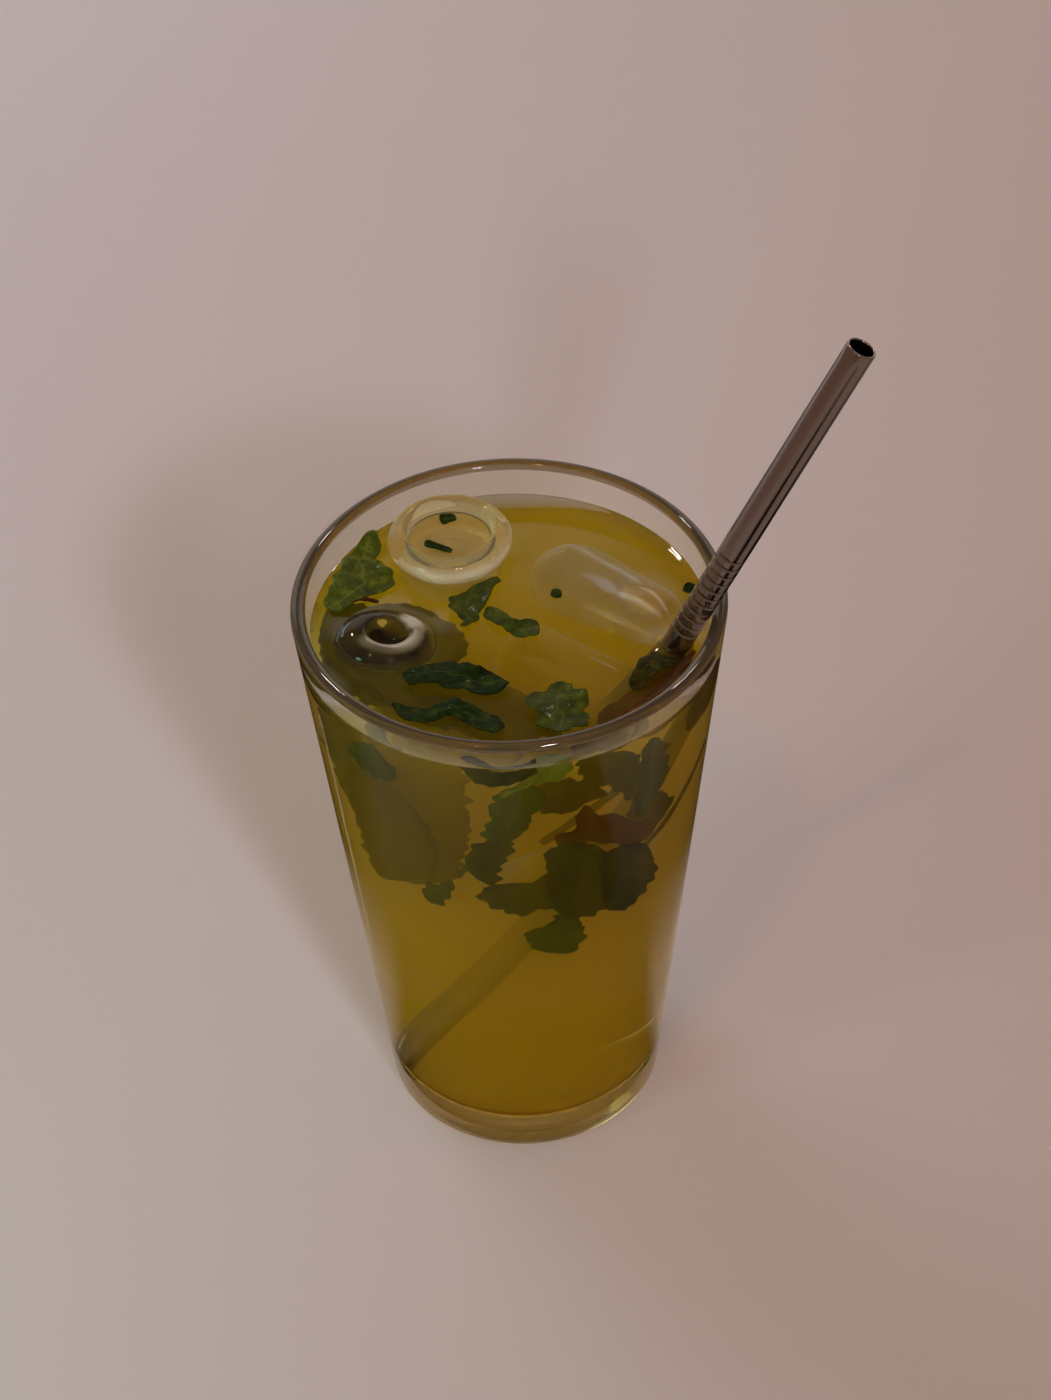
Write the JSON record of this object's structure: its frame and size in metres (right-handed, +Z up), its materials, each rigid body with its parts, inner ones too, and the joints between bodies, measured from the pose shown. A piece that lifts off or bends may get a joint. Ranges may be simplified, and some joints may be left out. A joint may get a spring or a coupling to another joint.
{
  "type": "glass of iced mate tea",
  "caption": "Iced mate tea with herb leaves and hollow ice in a straight tapered glass, with a leaning metal straw.",
  "frame": {"origin": "middle of the flat foot of the glass, on the surface that it stands on", "axes": "+Z up along the glass's axis, +X to the side that the straw leans to"},
  "size_m": [0.1149, 0.089, 0.2057],
  "materials": {
    "clear_glass": "clear pressed soda-lime glass, polished lip",
    "mate_tea": "yellow-amber tea, slightly cloudy",
    "clear_ice": "clear to whitish wet ice",
    "polished_steel": "polished stainless steel tube with fine grooves",
    "herb_leaf": "wet dark green herb leaf"
  },
  "bodies": {
    "root": {"glass": "clear_glass", "tea": "mate_tea", "melt_water": "mate_tea", "metal_straw": "polished_steel", "ice_cup_back": "clear_ice", "ice_oval_left": "clear_ice", "ice_bullet_right": "clear_ice", "leaf_back_left": "herb_leaf", "leaf_centre": "herb_leaf", "leaf_centre_fold": "herb_leaf", "leaf_front_dark": "herb_leaf", "leaf_front_wave": "herb_leaf", "leaf_by_straw": "herb_leaf", "leaf_fan": "herb_leaf"}
  },
  "joints": []
}
